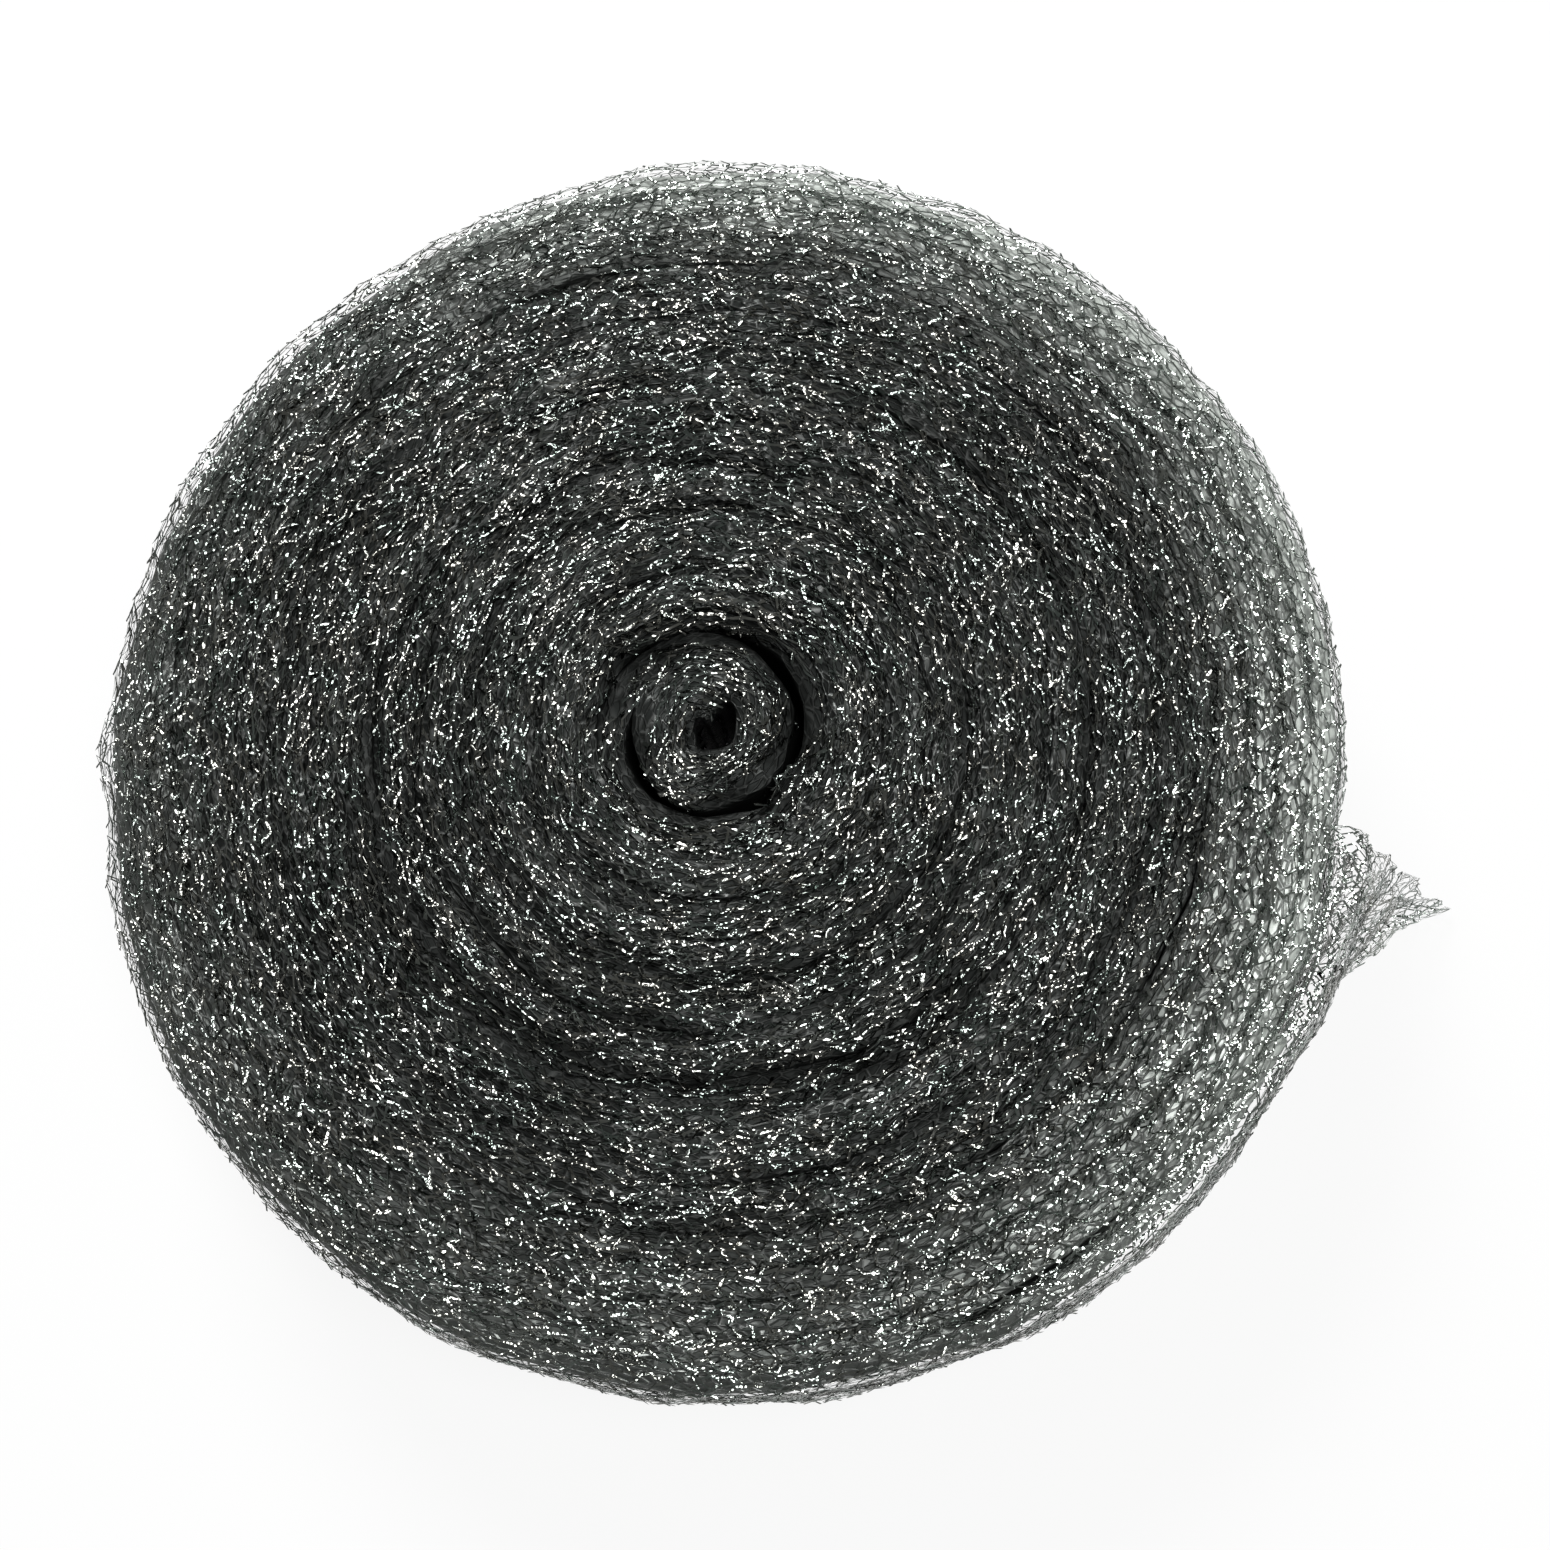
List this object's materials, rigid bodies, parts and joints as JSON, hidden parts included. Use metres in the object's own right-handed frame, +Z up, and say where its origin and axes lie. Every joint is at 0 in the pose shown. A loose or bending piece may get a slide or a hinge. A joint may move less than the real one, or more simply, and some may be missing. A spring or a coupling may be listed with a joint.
{
  "type": "stainless steel scourer roll",
  "caption": "Disc-shaped roll of knitted stainless steel scouring mesh, one flattened strip wound on edge, with its loose end pulled out at the foot.",
  "frame": {"origin": "middle of the bottom of the roll's box, on the surface it stands on", "axes": "+Z is up along the roll's axis, and +X points to the side where the strip's loose end is"},
  "size_m": [0.278, 0.2546, 0.0604],
  "materials": {
    "knitted_steel": "knitted from bright flat stainless wire, with many small glints over dark gaps"
  },
  "bodies": {
    "root": {"knitted_mesh_strip": "knitted_steel"}
  },
  "joints": []
}
